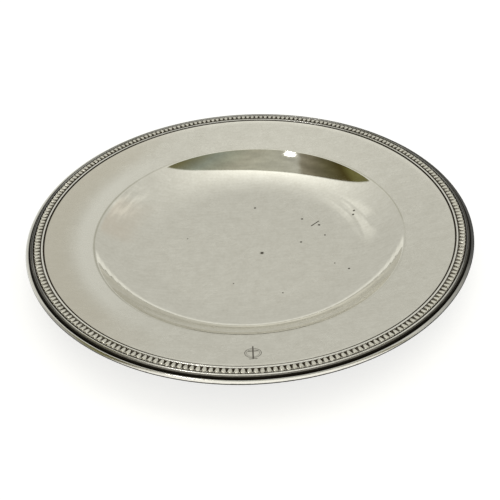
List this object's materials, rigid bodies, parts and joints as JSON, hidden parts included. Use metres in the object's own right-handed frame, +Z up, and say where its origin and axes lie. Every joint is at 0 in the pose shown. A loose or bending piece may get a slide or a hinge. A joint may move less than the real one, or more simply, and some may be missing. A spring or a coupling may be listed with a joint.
{
  "type": "paten plate",
  "caption": "Large round silver plate with a flat-floored well, wide sloping border and soldered moulded edge, for laying or serving things on.",
  "frame": {"origin": "centre of the underside, on the surface that the plate stands on", "axes": "+Z up along the plate's axis; the plate is round, so X and Y lie anywhere in its plane"},
  "size_m": [0.3, 0.3, 0.0263],
  "materials": {
    "silver_sheet": "polished silver, worn to a soft sheen with fine hairline scratches",
    "silver_wire": "polished silver, bright, with tarnish along the joints",
    "silver_leafwork": "satin silver, bright on the leaves and dark with old tarnish between them"
  },
  "bodies": {
    "root": {"dish_body": "silver_sheet", "inner_fillet": "silver_wire", "leaf_strip_01": "silver_leafwork", "leaf_strip_02": "silver_leafwork", "leaf_strip_03": "silver_leafwork", "leaf_strip_04": "silver_leafwork", "leaf_strip_05": "silver_leafwork", "leaf_strip_06": "silver_leafwork", "leaf_strip_07": "silver_leafwork", "leaf_strip_08": "silver_leafwork", "leaf_strip_09": "silver_leafwork", "leaf_strip_10": "silver_leafwork", "outer_fillet": "silver_wire", "cove_moulding": "silver_wire", "edge_reed": "silver_wire"}
  },
  "joints": []
}
